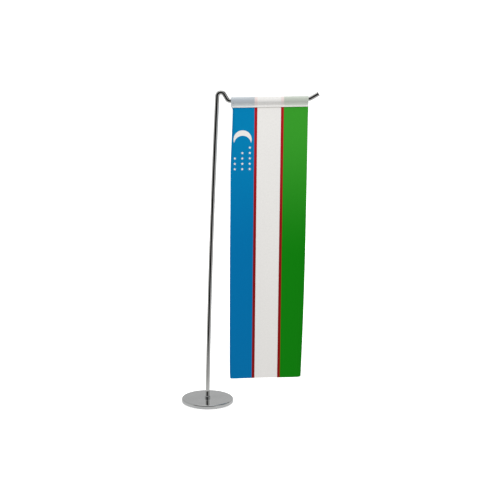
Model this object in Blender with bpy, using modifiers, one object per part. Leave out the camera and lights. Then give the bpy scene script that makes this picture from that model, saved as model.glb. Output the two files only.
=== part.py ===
"""Desk flag stand: a chromed rod, bent to a gooseneck and an arm, carries a narrow cloth banner.

Units are metres and +Z is up. The origin is the centre of the underside, on the desk.
The rod lies in the XZ plane with its arm towards +X, and the banner's printed face looks to -Y.
"""

import math

import bmesh
import bpy
from mathutils import Matrix

# Clearances
FIT_GAP = 0.0003  # between pieces that touch on the real stand
THREAD_GAP = 0.0003  # radial, between the spigot and the holes it passes through
SLEEVE_LOOSENESS = 0.0012  # radial, of the sleeve over the arm

# Base
BASE_RADIUS = 0.0375
BASE_THICKNESS = 0.0055
BASE_EDGE_RADIUS = 0.0007
PAD_THICKNESS = 0.0008
PAD_INSET = 0.003  # how far the pad's edge stays inside the disc's

# Foot of the pole
SPIGOT_SHOULDER = 0.0005  # turned off the rod's radius, which leaves an M5 thread, without its turns
SPIGOT_RECESS = 0.0006  # how far its end stays above the disc's underside
SPIGOT_ROOT = 0.003  # how far it runs up into the rod
COLLAR_WALL = 0.0012
COLLAR_HEIGHT = 0.0026
COLLAR_CHAMFER = 0.0006

# Rod, along its centreline from the collar to the tip
ROD_RADIUS = 0.003
BEND_RADIUS = 0.0052  # every tight bend is made on one former
FOOT_LEAN = math.radians(0.7)
TOP_LEAN = math.radians(2.4)
UPRIGHT_LENGTH = 0.4372
DROP_ANGLE = math.radians(59)  # the gooseneck's fall, below horizontal
DROP_LENGTH = 0.0076
ARM_RISE = math.radians(2.1)
ARM_LENGTH = 0.1098
TIP_RISE = math.radians(30.6)
TIP_LENGTH = 0.0127

# Banner
CLOTH_THICKNESS = 0.0009
SLEEVE_START = 0.0012  # along the arm from the end of the gooseneck
SLEEVE_END_ROOM = 0.0004  # straight arm left past the sleeve
PANEL_INSET = 0.0006  # how far each side of the panel stays inside the sleeve's ends
BANNER_SLOPE = math.radians(1.3)  # the weft rises less than the arm does
SEAM_DROP = 0.0110  # from the arm's axis to the flap's sewn edge, mid-sleeve
FLAP_HEIGHT = 0.0034  # the sewn strip where flap and panel lie flat together
HEM_HEIGHT = 0.0367  # of the cut bottom edge above the desk, mid-sleeve
CURL_WIDTH = 0.024  # the free edge curls back towards the bottom
CURL_ANGLE = math.radians(45)
THREAD_WIDTH = 0.0005
THREAD_HEIGHT = 0.0003
THREAD_INSET = 0.001  # how far each end of the sewn row stays inside the panel
THREAD_RISE = 0.0012  # from the flap's edge up to the sewn row

# Fineness of the solids
TURN_STEPS = 64
ROD_RESOLUTION = 8
ARC_STEP = math.radians(9)


def clear_scene():
    for obj in list(bpy.data.objects):
        bpy.data.objects.remove(obj, do_unlink=True)


def new_collection(name):
    collection = bpy.data.collections.new(name)
    bpy.context.scene.collection.children.link(collection)
    return collection


def make_material(name, colour, roughness, metallic):
    material = bpy.data.materials.new(name)
    material.use_nodes = True
    shader = material.node_tree.nodes["Principled BSDF"]
    shader.inputs["Base Color"].default_value = (*colour, 1.0)
    shader.inputs["Roughness"].default_value = roughness
    shader.inputs["Metallic"].default_value = metallic
    return material


def add_object(name, mesh, collection, material=None):
    obj = bpy.data.objects.new(name, mesh)
    collection.objects.link(obj)
    if material:
        mesh.materials.append(material)
    return obj


def make_helper(obj):
    """Keep an object that only feeds a Boolean out of the model."""
    obj.hide_render = True
    obj.display_type = "WIRE"


def add_axis(name, collection, location):
    axis = bpy.data.objects.new(name, None)
    axis.location = location
    axis.empty_display_size = 0.02
    collection.objects.link(axis)
    return axis


def hang_on(axis, *children):
    """Parent the children to the axis and leave them where they are."""
    bpy.context.view_layer.update()
    for child in children:
        child.parent = axis
        child.matrix_parent_inverse = axis.matrix_world.inverted()


def add_union(obj, helper):
    union = obj.modifiers.new("join", "BOOLEAN")
    union.operation = "UNION"
    union.object = helper


# Places that several pieces share


BASE_BOTTOM = PAD_THICKNESS + FIT_GAP
BASE_TOP = BASE_BOTTOM + BASE_THICKNESS
COLLAR_BOTTOM = BASE_TOP + FIT_GAP
COLLAR_TOP = COLLAR_BOTTOM + COLLAR_HEIGHT
ROD_FOOT = COLLAR_TOP + FIT_GAP
SPIGOT_RADIUS = ROD_RADIUS - SPIGOT_SHOULDER
BORE_RADIUS = SPIGOT_RADIUS + THREAD_GAP
SLEEVE_LENGTH = ARM_LENGTH - SLEEVE_START - SLEEVE_END_ROOM
SLEEVE_MIDDLE = SLEEVE_START + SLEEVE_LENGTH / 2
PANEL_WIDTH = SLEEVE_LENGTH - 2 * PANEL_INSET


class Route:
    """A centreline in the XZ plane, drawn by turning and walking. Headings are above +X."""

    def __init__(self, x, z, heading):
        self.x = x
        self.z = z
        self.heading = heading
        self.points = [(x, z)]

    def walk(self, length):
        self.x += length * math.cos(self.heading)
        self.z += length * math.sin(self.heading)
        self.points.append((self.x, self.z))

    def bend(self, heading, length, steps):
        """An arc of this length that ends on the new heading."""
        turn = (heading - self.heading) / steps
        chord = 2 * (length / (heading - self.heading)) * math.sin(turn / 2)
        for _ in range(steps):
            self.heading += turn / 2
            self.walk(chord)
            self.heading += turn / 2

    def bend_on_former(self, heading):
        angle = abs(heading - self.heading)
        self.bend(heading, BEND_RADIUS * angle, max(2, round(angle / ARC_STEP)))


def rod_route():
    """The rod's centreline, and where its straight arm begins."""
    route = Route(0.0, ROD_FOOT, math.pi / 2 - FOOT_LEAN)
    route.bend(math.pi / 2 - TOP_LEAN, UPRIGHT_LENGTH, 12)
    route.bend_on_former(-DROP_ANGLE)
    route.walk(DROP_LENGTH)
    route.bend_on_former(ARM_RISE)
    arm_start = (route.x, route.z)
    route.walk(ARM_LENGTH)
    route.bend_on_former(TIP_RISE)
    route.walk(TIP_LENGTH)
    return route.points, arm_start


ROD_POINTS, ARM_START = rod_route()


def on_arm(distance):
    """(x, z) on the arm's axis, this far from its start."""
    return (
        ARM_START[0] + distance * math.cos(ARM_RISE),
        ARM_START[1] + distance * math.sin(ARM_RISE),
    )


PANEL_DROP = on_arm(SLEEVE_MIDDLE)[1] - HEM_HEIGHT


# Turned pieces


def turned(name, profile, collection, material):
    """Turn a closed profile of (radius, z) points, which runs down its outer side, about the Z axis."""
    mesh = bpy.data.meshes.new(name)
    count = len(profile)
    edges = [(i, (i + 1) % count) for i in range(count)]
    mesh.from_pydata([(r, 0.0, z) for r, z in profile], edges, [])
    obj = add_object(name, mesh, collection, material)
    screw = obj.modifiers.new("turn", "SCREW")
    screw.axis = "Z"
    screw.steps = TURN_STEPS
    screw.render_steps = TURN_STEPS
    screw.use_merge_vertices = True
    screw.merge_threshold = 0.00001
    screw.use_smooth_shade = True
    return obj


def quarter_round(centre_radius, centre_z, radius, start, steps=4):
    """Points of a quarter turn, clockwise from the start angle."""
    angles = [start - math.pi / 2 * i / steps for i in range(steps + 1)]
    return [(centre_radius + radius * math.cos(a), centre_z + radius * math.sin(a)) for a in angles]


def make_base_disc(collection, material):
    edge = BASE_RADIUS - BASE_EDGE_RADIUS
    profile = [(BORE_RADIUS, BASE_TOP)]
    profile += quarter_round(edge, BASE_TOP - BASE_EDGE_RADIUS, BASE_EDGE_RADIUS, math.pi / 2)
    profile += quarter_round(edge, BASE_BOTTOM + BASE_EDGE_RADIUS, BASE_EDGE_RADIUS, 0.0)
    profile += [(BORE_RADIUS, BASE_BOTTOM)]
    return turned("base_disc", profile, collection, material)


def make_foot_collar(collection, material):
    radius = BORE_RADIUS + COLLAR_WALL
    profile = [
        (BORE_RADIUS, COLLAR_TOP),
        (radius - COLLAR_CHAMFER, COLLAR_TOP),
        (radius, COLLAR_TOP - COLLAR_CHAMFER),
        (radius, COLLAR_BOTTOM),
        (BORE_RADIUS, COLLAR_BOTTOM),
    ]
    return turned("foot_collar", profile, collection, material)


def cylinder(name, radius, bottom, top, collection, material=None):
    bpy.ops.mesh.primitive_cylinder_add(
        vertices=TURN_STEPS,
        radius=radius,
        depth=top - bottom,
        location=(0.0, 0.0, (top + bottom) / 2),
    )
    obj = bpy.context.object
    obj.name = name
    for holder in list(obj.users_collection):
        holder.objects.unlink(obj)
    collection.objects.link(obj)
    if material:
        obj.data.materials.append(material)
    return obj


def make_base_pad(collection, material):
    return cylinder("base_pad", BASE_RADIUS - PAD_INSET, 0.0, PAD_THICKNESS, collection, material)


# Pole


def mesh_of_curve(curve_obj):
    """The curve's tube as a closed mesh, and the curve removed."""
    bpy.context.view_layer.update()
    graph = bpy.context.evaluated_depsgraph_get()
    mesh = bpy.data.meshes.new_from_object(curve_obj.evaluated_get(graph))
    mesh.transform(curve_obj.matrix_world)
    shape = bmesh.new()
    shape.from_mesh(mesh)
    bmesh.ops.remove_doubles(shape, verts=shape.verts, dist=0.00001)
    bmesh.ops.recalc_face_normals(shape, faces=shape.faces)
    shape.to_mesh(mesh)
    shape.free()
    bpy.data.objects.remove(curve_obj, do_unlink=True)
    return mesh


def rod_tube(collection):
    curve = bpy.data.curves.new("rod", "CURVE")
    curve.dimensions = "3D"
    curve.bevel_depth = ROD_RADIUS
    curve.bevel_resolution = ROD_RESOLUTION
    curve.use_fill_caps = True
    spline = curve.splines.new("POLY")
    spline.points.add(len(ROD_POINTS) - 1)
    for point, (x, z) in zip(spline.points, ROD_POINTS):
        point.co = (x, 0.0, z, 1.0)
    return mesh_of_curve(add_object("rod", curve, collection))


def make_pole(collection, helpers, material):
    """The bent rod, with the turned-down spigot that screws into the disc."""
    spigot = cylinder(
        "pole_spigot",
        SPIGOT_RADIUS,
        BASE_BOTTOM + SPIGOT_RECESS,
        ROD_FOOT + SPIGOT_ROOT,
        helpers,
    )
    make_helper(spigot)
    pole = add_object("pole", rod_tube(collection), collection, material)
    pole.data.shade_smooth()
    pole.data.set_sharp_from_angle(angle=math.radians(40))
    add_union(pole, spigot)
    return pole


# Banner. Its cross-section is drawn as (y, z) from the arm's axis, with the printed side at -y

FLAP_FACE = -1.5 * CLOTH_THICKNESS

# The sleeve slopes less than the arm, so it lies on the arm at its high end and is loose at the other
SLEEVE_LIFT = (
    SLEEVE_LENGTH / 2 * (math.tan(ARM_RISE) - math.tan(BANNER_SLOPE)) - SLEEVE_LOOSENESS + FIT_GAP
)


def tangent_point(y, z, radius, side):
    """Angle, on a circle about the sleeve's centre, of the tangent drawn from (y, z). side is 1 at +y."""
    return math.atan2(z, y) + side * math.acos(radius / math.hypot(y, z))


def loop_over_arm(front, back, radius, steps=18):
    """From the back point up its tangent, round the sleeve's centre and down to the front point."""
    front_tangent = tangent_point(front[0], front[1] - SLEEVE_LIFT, radius, -1) + 2 * math.pi
    back_tangent = tangent_point(back[0], back[1] - SLEEVE_LIFT, radius, 1)
    angles = [back_tangent + (front_tangent - back_tangent) * i / steps for i in range(steps + 1)]
    arc = [(radius * math.cos(a), SLEEVE_LIFT + radius * math.sin(a)) for a in angles]
    return [back, *arc, front]


def sleeve_sections():
    """The outline of the sewn sleeve, and the tunnel that the arm passes through."""
    inner = ROD_RADIUS + SLEEVE_LOOSENESS
    outer = inner + CLOTH_THICKNESS
    back = 0.6 * CLOTH_THICKNESS
    strip_top = -SEAM_DROP + FLAP_HEIGHT
    outline = [
        (back, -SEAM_DROP),
        *loop_over_arm((FLAP_FACE, strip_top), (back, strip_top), outer),
        (FLAP_FACE, -SEAM_DROP),
    ]
    apex = ((FLAP_FACE + back) / 2, strip_top + CLOTH_THICKNESS / 2)
    tunnel = loop_over_arm(apex, apex, inner)[:-1]
    return outline, tunnel


def prism_along_x(name, sections, length, collection):
    """Extrude (y, z) outlines both ways along X, half the length each."""
    curve = bpy.data.curves.new(name, "CURVE")
    curve.dimensions = "2D"
    curve.fill_mode = "BOTH"
    curve.extrude = length / 2
    for section in sections:
        spline = curve.splines.new("POLY")
        spline.points.add(len(section) - 1)
        spline.use_cyclic_u = True
        for point, (y, z) in zip(spline.points, section):
            point.co = (y, z, 0.0, 1.0)
    mesh = mesh_of_curve(add_object(name, curve, collection))
    mesh.transform(Matrix(((0, 0, 1, 0), (1, 0, 0, 0), (0, 1, 0, 0), (0, 0, 0, 1))))
    return mesh


def hang_from_arm(mesh):
    """Move a mesh drawn about X = 0 to the middle of the sleeve, and slope its weft."""
    x, z = on_arm(SLEEVE_MIDDLE)
    slope = math.tan(BANNER_SLOPE)
    mesh.transform(Matrix(((1, 0, 0, x), (0, 1, 0, 0), (slope, 0, 1, z), (0, 0, 0, 1))))


def panel_point(across, down):
    """(x, y) of the cloth at these shares of its width and length: the right edge curls back."""
    distance = across * PANEL_WIDTH
    past = distance - (PANEL_WIDTH - CURL_WIDTH)
    angle = CURL_ANGLE * down**1.5
    if past <= 0 or angle == 0:
        return distance - PANEL_WIDTH / 2, 0.0
    radius = CURL_WIDTH / angle
    turn = past / radius
    x = distance - past + radius * math.sin(turn)
    return x - PANEL_WIDTH / 2, radius * (1 - math.cos(turn))


def panel_sheet(name, across_steps=24, down_steps=24):
    """The flat length of cloth under the sleeve, as an open sheet about the arm's axis."""
    top = -SEAM_DROP + FLAP_HEIGHT / 2
    shape = bmesh.new()
    bmesh.ops.create_grid(shape, x_segments=across_steps, y_segments=down_steps, size=1)
    for vertex in shape.verts:
        across = (vertex.co.x + 1) / 2
        down = (1 - vertex.co.y) / 2
        x, y = panel_point(across, down)
        vertex.co = (x, y, top - down * (PANEL_DROP + top))
    mesh = bpy.data.meshes.new(name)
    shape.to_mesh(mesh)
    shape.free()
    return mesh


def make_banner(collection, helpers, material):
    """Sleeve and panel are one piece of cloth: the sheet is joined to the sewn sleeve."""
    panel = add_object("banner_panel", panel_sheet("banner_panel"), helpers)
    hang_from_arm(panel.data)
    thickness = panel.modifiers.new("cloth", "SOLIDIFY")
    thickness.thickness = CLOTH_THICKNESS
    thickness.offset = 0.0
    make_helper(panel)
    sleeve = prism_along_x("banner", sleeve_sections(), SLEEVE_LENGTH, collection)
    hang_from_arm(sleeve)
    banner = add_object("banner", sleeve, collection, material)
    add_union(banner, panel)
    return banner


def make_seam_thread(collection, material):
    """One thin bar for the sewn row that closes the sleeve."""
    back = FLAP_FACE - FIT_GAP
    front = back - THREAD_HEIGHT
    row = -SEAM_DROP + THREAD_RISE
    low, high = row - THREAD_WIDTH / 2, row + THREAD_WIDTH / 2
    section = [(back, low), (back, high), (front, high), (front, low)]
    mesh = prism_along_x("seam_thread", [section], PANEL_WIDTH - 2 * THREAD_INSET, collection)
    hang_from_arm(mesh)
    return add_object("seam_thread", mesh, collection, material)


clear_scene()
stand = new_collection("desk_flag_stand")
helpers = new_collection("cutters")

chrome = make_material("chrome", (0.62, 0.63, 0.63), 0.06, 1.0)
collar_chrome = make_material("collar_chrome", (0.58, 0.59, 0.59), 0.10, 1.0)
rod_chrome = make_material("rod_chrome", (0.60, 0.61, 0.60), 0.08, 1.0)
pad_foam = make_material("pad_foam", (0.03, 0.03, 0.03), 0.9, 0.0)
banner_cloth = make_material("banner_cloth", (0.75, 0.74, 0.72), 0.85, 0.0)
sewing_thread = make_material("sewing_thread", (0.82, 0.82, 0.80), 0.8, 0.0)

make_base_disc(stand, chrome)
make_base_pad(stand, pad_foam)
foot_collar = make_foot_collar(stand, collar_chrome)
pole = make_pole(stand, helpers, rod_chrome)
banner = make_banner(stand, helpers, banner_cloth)
seam_thread = make_seam_thread(stand, sewing_thread)

pole_axis = add_axis("pole_axis", stand, (0.0, 0.0, BASE_TOP))
arm_axis = add_axis("arm_axis", stand, (ARM_START[0], 0.0, ARM_START[1]))
hang_on(pole_axis, foot_collar, pole, arm_axis)
hang_on(arm_axis, banner, seam_thread)
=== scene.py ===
"""Desk flag stand: the looks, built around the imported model.

Units are metres and +Z is up. The stand rests on Z = 0, its arm points to +X, and the printed
face of its banner looks to -Y.
"""

import math

import bmesh
import bpy
from mathutils import Matrix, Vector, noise


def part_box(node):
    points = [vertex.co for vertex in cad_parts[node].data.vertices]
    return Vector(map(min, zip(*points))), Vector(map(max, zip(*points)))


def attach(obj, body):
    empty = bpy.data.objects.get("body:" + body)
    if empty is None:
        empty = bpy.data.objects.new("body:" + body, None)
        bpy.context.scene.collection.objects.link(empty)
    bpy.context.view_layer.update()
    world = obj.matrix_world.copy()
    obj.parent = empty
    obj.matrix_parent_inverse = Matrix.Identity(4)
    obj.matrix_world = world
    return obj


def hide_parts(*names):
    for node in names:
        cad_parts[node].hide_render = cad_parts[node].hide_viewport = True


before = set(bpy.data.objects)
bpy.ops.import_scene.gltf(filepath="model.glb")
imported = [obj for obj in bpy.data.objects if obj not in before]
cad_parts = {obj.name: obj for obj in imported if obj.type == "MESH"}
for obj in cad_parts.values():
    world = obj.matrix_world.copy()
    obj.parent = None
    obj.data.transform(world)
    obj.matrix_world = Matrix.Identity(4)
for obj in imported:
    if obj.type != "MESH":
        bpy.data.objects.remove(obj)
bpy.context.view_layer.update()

# --- Base plate ---------------------------------------------------------------------------------
# A steel disc turned on a lathe, its two edges rounded over, then plated with bright chrome.
# A hole through its middle takes the threaded end of the pole. Nothing else holds the stand up.

PLATE_TOP_ROUND = 0.0018
PLATE_EDGE_RADIUS = 0.0007
PLATE_HOLE_RADIUS = 0.0028
PLATE_STEPS = 160
PLATE_CHROME = (0.60, 0.61, 0.61)


def turned(name, profile, steps, sharp_degrees):
    """Turn a closed profile of (radius, z) about the Z axis. A point on the axis closes the end."""
    shape = bmesh.new()
    rings = []
    for radius, z in profile:
        if radius == 0:
            rings.append([shape.verts.new((0.0, 0.0, z))] * steps)
            continue
        turns = [2 * math.pi * i / steps for i in range(steps)]
        places = [(radius * math.cos(t), radius * math.sin(t), z) for t in turns]
        rings.append([shape.verts.new(place) for place in places])
    for ring, following in zip(rings, rings[1:] + rings[:1]):
        for i in range(steps):
            j = (i + 1) % steps
            corners = dict.fromkeys((ring[i], ring[j], following[j], following[i]))
            if len(corners) > 2:
                shape.faces.new(list(corners))
    return finished_object(name, shape, sharp_degrees)


def finished_object(name, shape, sharp_degrees):
    """The closed mesh as an object at the origin, facing outwards and shaded smooth."""
    bmesh.ops.recalc_face_normals(shape, faces=shape.faces)
    mesh = bpy.data.meshes.new(name)
    shape.to_mesh(mesh)
    shape.free()
    mesh.shade_smooth()
    mesh.set_sharp_from_angle(angle=math.radians(sharp_degrees))
    return placed(name, mesh)


def placed(name, data):
    """A new object at the origin, in the scene."""
    thing = bpy.data.objects.new(name, data)
    bpy.context.scene.collection.objects.link(thing)
    return thing


def quarter_round(radius, z, edge, first_degrees, steps=8):
    """Points of a rounded edge about this centre, turning clockwise through a quarter."""
    turns = [math.radians(first_degrees - 90 * i / steps) for i in range(steps + 1)]
    return [(radius + edge * math.cos(t), z + edge * math.sin(t)) for t in turns]


def new_material(name):
    """A new material, its node tree and its shader."""
    material = bpy.data.materials.new(name)
    material.use_nodes = True
    tree = material.node_tree
    return material, tree, tree.nodes["Principled BSDF"]


def add_node(tree, kind, inputs=(), **settings):
    """Add a node, set its properties, then set or link its inputs, given by name or by number."""
    node = tree.nodes.new(kind)
    for key, value in settings.items():
        setattr(node, key, value)
    for key, value in dict(inputs).items():
        if isinstance(value, bpy.types.NodeSocket):
            tree.links.new(value, node.inputs[key])
        else:
            node.inputs[key].default_value = value
    return node


def remapped(tree, value, low, high):
    """A value of 0 to 1 spread between two new ends."""
    span = {"Value": value, "To Min": low, "To Max": high}
    return add_node(tree, "ShaderNodeMapRange", span).outputs["Result"]


def two_tone(tree, share, first, last, start=0.0, end=1.0):
    """A colour that runs from one to the other as the share rises from start to end."""
    ramp = add_node(tree, "ShaderNodeValToRGB", {"Fac": share})
    for element, place, colour in zip(ramp.color_ramp.elements, (start, end), (first, last)):
        element.position = place
        element.color = (*colour, 1.0)
    return ramp.outputs["Color"]


def shade(colour, factor):
    """The same colour, darker or lighter."""
    return [factor * part for part in colour]


def relief(tree, height, strength, distance, over=None):
    """A surface raised by this height, over an earlier relief where one is given."""
    inputs = {"Height": height, "Strength": strength, "Distance": distance}
    if over is not None:
        inputs["Normal"] = over
    return add_node(tree, "ShaderNodeBump", inputs).outputs["Normal"]


def blurred_chrome(tree, shader, place, colour, clean, cloudy):
    """Chrome that is cloudy here and there, with faint fingermarks, rippled like any plating."""
    cloud = add_node(tree, "ShaderNodeTexNoise", {"Vector": place, "Scale": 90.0, "Detail": 5.0})
    tree.links.new(remapped(tree, cloud.outputs["Fac"], clean, cloudy), shader.inputs["Roughness"])
    tarnish = add_node(tree, "ShaderNodeTexNoise", {"Vector": place, "Scale": 35.0, "Detail": 3.0})
    tone = two_tone(tree, tarnish.outputs["Fac"], shade(colour, 0.93), colour, 0.35, 0.65)
    tree.links.new(tone, shader.inputs["Base Color"])
    shader.inputs["Metallic"].default_value = 1.0
    ripple = add_node(tree, "ShaderNodeTexNoise", {"Vector": place, "Scale": 320.0, "Detail": 1.0})
    return ripple.outputs["Fac"]


def plate_chrome():
    """Mirror chrome over faint rings that the lathe left."""
    material, tree, shader = new_material("plate chrome")
    place = add_node(tree, "ShaderNodeTexCoord").outputs["Object"]
    ripple = blurred_chrome(tree, shader, place, PLATE_CHROME, 0.03, 0.10)
    in_plan = {0: place, 1: (1.0, 1.0, 0.0)}
    flat = add_node(tree, "ShaderNodeVectorMath", in_plan, operation="MULTIPLY")
    far = add_node(tree, "ShaderNodeVectorMath", {0: flat.outputs["Vector"]}, operation="LENGTH")
    rings = add_node(
        tree,
        "ShaderNodeTexNoise",
        {"W": far.outputs["Value"], "Scale": 2600.0, "Detail": 2.0},
        noise_dimensions="1D",
    )
    turning = relief(tree, rings.outputs["Fac"], 0.25, 0.000002)
    plating = relief(tree, ripple, 0.5, 0.000006, over=turning)
    tree.links.new(plating, shader.inputs["Normal"])
    return material


plate_low, plate_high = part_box("base_disc")
plate_rim = plate_high.x - PLATE_EDGE_RADIUS
plate_flat = plate_high.x - PLATE_TOP_ROUND
base_plate = turned(
    "base_plate",
    [
        (PLATE_HOLE_RADIUS, plate_high.z - 0.0002),
        (PLATE_HOLE_RADIUS + 0.0002, plate_high.z),
        (PLATE_HOLE_RADIUS + 0.0004, plate_high.z),
        (plate_flat - 0.0002, plate_high.z),
        *quarter_round(plate_flat, plate_high.z - PLATE_TOP_ROUND, PLATE_TOP_ROUND, 90),
        (plate_high.x, plate_high.z - PLATE_TOP_ROUND - 0.0001),
        (plate_high.x, plate_low.z + PLATE_EDGE_RADIUS + 0.0001),
        *quarter_round(plate_rim, plate_low.z + PLATE_EDGE_RADIUS, PLATE_EDGE_RADIUS, 0),
        (plate_rim - 0.0002, plate_low.z),
        (PLATE_HOLE_RADIUS + 0.0004, plate_low.z),
        (PLATE_HOLE_RADIUS, plate_low.z + 0.0002),
    ],
    steps=PLATE_STEPS,
    sharp_degrees=50,
)
base_plate.data.materials.append(plate_chrome())
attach(base_plate, "stand_base")
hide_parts("base_disc")

# --- Foam pad -----------------------------------------------------------------------------------
# A disc of black cellular rubber, stuck under the plate so that it neither slides nor scratches.
# Its cut edge is slightly rounded and its cells show.

PAD_EDGE_RADIUS = 0.0003
PAD_TUCK = 0.00028  # up to the plate that it is stuck to
PAD_BLACK = (0.022, 0.022, 0.023)


def pad_foam():
    """Matt black foam with open cells."""
    material, tree, shader = new_material("pad foam")
    place = add_node(tree, "ShaderNodeTexCoord").outputs["Object"]
    cells = add_node(tree, "ShaderNodeTexVoronoi", {"Vector": place, "Scale": 2200.0})
    dust = add_node(tree, "ShaderNodeTexNoise", {"Vector": place, "Scale": 160.0, "Detail": 4.0})
    dusty = two_tone(tree, dust.outputs["Fac"], PAD_BLACK, shade(PAD_BLACK, 2.4), 0.45, 0.80)
    tree.links.new(dusty, shader.inputs["Base Color"])
    tree.links.new(remapped(tree, dust.outputs["Fac"], 0.82, 0.98), shader.inputs["Roughness"])
    tree.links.new(relief(tree, cells.outputs["Distance"], 0.8, 0.0001), shader.inputs["Normal"])
    return material


pad_low, pad_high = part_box("base_pad")
pad_rim = pad_high.x - PAD_EDGE_RADIUS
pad_top = pad_high.z + PAD_TUCK
foam_pad = turned(
    "foam_pad",
    [
        (0.0, pad_top),
        (pad_rim, pad_top),
        *quarter_round(pad_rim, pad_top - PAD_EDGE_RADIUS, PAD_EDGE_RADIUS, 90, 4)[1:],
        *quarter_round(pad_rim, pad_low.z + PAD_EDGE_RADIUS, PAD_EDGE_RADIUS, 0, 4),
        (0.0, pad_low.z),
    ],
    steps=96,
    sharp_degrees=50,
)
foam_pad.data.materials.append(pad_foam())
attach(foam_pad, "stand_base")
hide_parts("base_pad")

# --- Bent pole ----------------------------------------------------------------------------------
# One length of drawn steel rod. It is bowed a little, bent over one former into a gooseneck and a
# straight arm, and its tip is turned up so that the banner stays on. The foot is turned down and
# threaded. It is chrome plated before its tip is cropped, so the cut end is bare and brown.

ROD_RADIUS = 0.003
SPIGOT_RADIUS = 0.0025
SPIGOT_LENGTH = 0.0081
THREAD_PITCH = 0.0008
THREAD_DEPTH = 0.0004
BEND_RADIUS = 0.0052
FOOT_LEAN = math.radians(0.7)
TOP_LEAN = math.radians(2.4)
UPRIGHT_LENGTH = 0.4372
DROP_ANGLE = math.radians(59)
DROP_LENGTH = 0.0076
ARM_RISE = math.radians(2.1)
ARM_LENGTH = 0.1098
TIP_RISE = math.radians(30.6)
TIP_LENGTH = 0.0127
TIP_CHAMFER = 0.00025
TIP_BARE = 0.0006  # how far the plating has come away from the cut end
BARE_BANDS = 2  # bands of faces beside the cut end that the bare length takes up
ROD_STEPS = 96
ROD_CHROME = (0.66, 0.66, 0.645)
CUT_STEEL = (0.085, 0.036, 0.016)


def pole_stations():
    """The rod as (x, z, heading, radius) from the end of its spigot, and where its arm starts."""
    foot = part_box("foot_collar")[1].z + 0.0003
    up = math.pi / 2
    stations = [(0.0, foot - SPIGOT_LENGTH, up, SPIGOT_RADIUS - THREAD_DEPTH)]
    turns = int((SPIGOT_LENGTH - 0.0012) / THREAD_PITCH)
    for turn in range(turns):
        z = foot - SPIGOT_LENGTH + 0.0003 + turn * THREAD_PITCH
        stations.append((0.0, z, up, SPIGOT_RADIUS - THREAD_DEPTH))
        stations.append((0.0, z + 0.45 * THREAD_PITCH, up, SPIGOT_RADIUS))
        stations.append((0.0, z + 0.55 * THREAD_PITCH, up, SPIGOT_RADIUS))
    stations.append((0.0, foot - 0.0002, up, SPIGOT_RADIUS - THREAD_DEPTH))
    stations.append((0.0, foot, up, SPIGOT_RADIUS - THREAD_DEPTH))
    stations.append((0.0, foot, up, ROD_RADIUS - 0.0002))
    place = [0.0, foot + 0.0002, up - FOOT_LEAN]
    stations.append((*place, ROD_RADIUS))

    def walk(length, radius=ROD_RADIUS):
        place[0] += length * math.cos(place[2])
        place[1] += length * math.sin(place[2])
        stations.append((*place, radius))

    def bend(heading, length, steps):
        turn = (heading - place[2]) / steps
        chord = 2 * length / (heading - place[2]) * math.sin(turn / 2)
        for _ in range(steps):
            place[2] += turn / 2
            place[0] += chord * math.cos(place[2])
            place[1] += chord * math.sin(place[2])
            place[2] += turn / 2
            stations.append((*place, ROD_RADIUS))

    def bend_on_former(heading):
        angle = abs(heading - place[2])
        bend(heading, BEND_RADIUS * angle, max(4, round(math.degrees(angle) / 4)))

    bend(up - TOP_LEAN, UPRIGHT_LENGTH - 0.0002, 60)
    bend_on_former(-DROP_ANGLE)
    walk(DROP_LENGTH)
    bend_on_former(ARM_RISE)
    arm_start = (place[0], place[1])
    for _ in range(20):
        walk(ARM_LENGTH / 20)
    bend_on_former(TIP_RISE)
    walk(TIP_LENGTH - TIP_BARE)
    walk(TIP_BARE - TIP_CHAMFER)
    walk(TIP_CHAMFER, ROD_RADIUS - TIP_CHAMFER)
    return stations, arm_start


def swept_rod(name, stations):
    """Sweep a circle along the stations and close both ends. Its attribute runs along and round."""
    shape = bmesh.new()
    drawn = shape.verts.layers.float_vector.new("drawn")
    rings = []
    along = 0.0
    last = stations[0]
    for station in stations:
        x, z, heading, radius = station
        along += math.hypot(x - last[0], z - last[1])
        last = station
        ring = []
        for i in range(ROD_STEPS):
            turn = 2 * math.pi * i / ROD_STEPS
            side, lift = radius * math.sin(turn), radius * math.cos(turn)
            point = (x - lift * math.sin(heading), side, z + lift * math.cos(heading))
            vertex = shape.verts.new(point)
            vertex[drawn] = (lift, side, along)
            ring.append(vertex)
        rings.append(ring)
    for k, (ring, following) in enumerate(zip(rings, rings[1:])):
        for i in range(ROD_STEPS):
            j = (i + 1) % ROD_STEPS
            face = shape.faces.new((ring[i], ring[j], following[j], following[i]))
            face.material_index = int(k >= len(rings) - 1 - BARE_BANDS)
    shape.faces.new(rings[0])
    cut_end = shape.faces.new(rings[-1])
    cut_end.material_index = 1
    return finished_object(name, shape, sharp_degrees=30)


def rod_chrome():
    """Chrome over a drawn rod: the die's lines run along it under the plating."""
    material, tree, shader = new_material("rod chrome")
    place = add_node(tree, "ShaderNodeTexCoord").outputs["Object"]
    ripple = blurred_chrome(tree, shader, place, ROD_CHROME, 0.01, 0.06)
    drawn = add_node(tree, "ShaderNodeAttribute", attribute_name="drawn").outputs["Vector"]
    stretch = add_node(tree, "ShaderNodeMapping", {"Vector": drawn, "Scale": (1.0, 1.0, 0.02)})
    lengthwise = {"Vector": stretch.outputs["Vector"], "Scale": 4000.0, "Detail": 3.0}
    lines = add_node(tree, "ShaderNodeTexNoise", lengthwise)
    drawing = relief(tree, lines.outputs["Fac"], 0.3, 0.000002)
    plating = relief(tree, ripple, 0.3, 0.000004, over=drawing)
    tree.links.new(plating, shader.inputs["Normal"])
    return material


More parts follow.
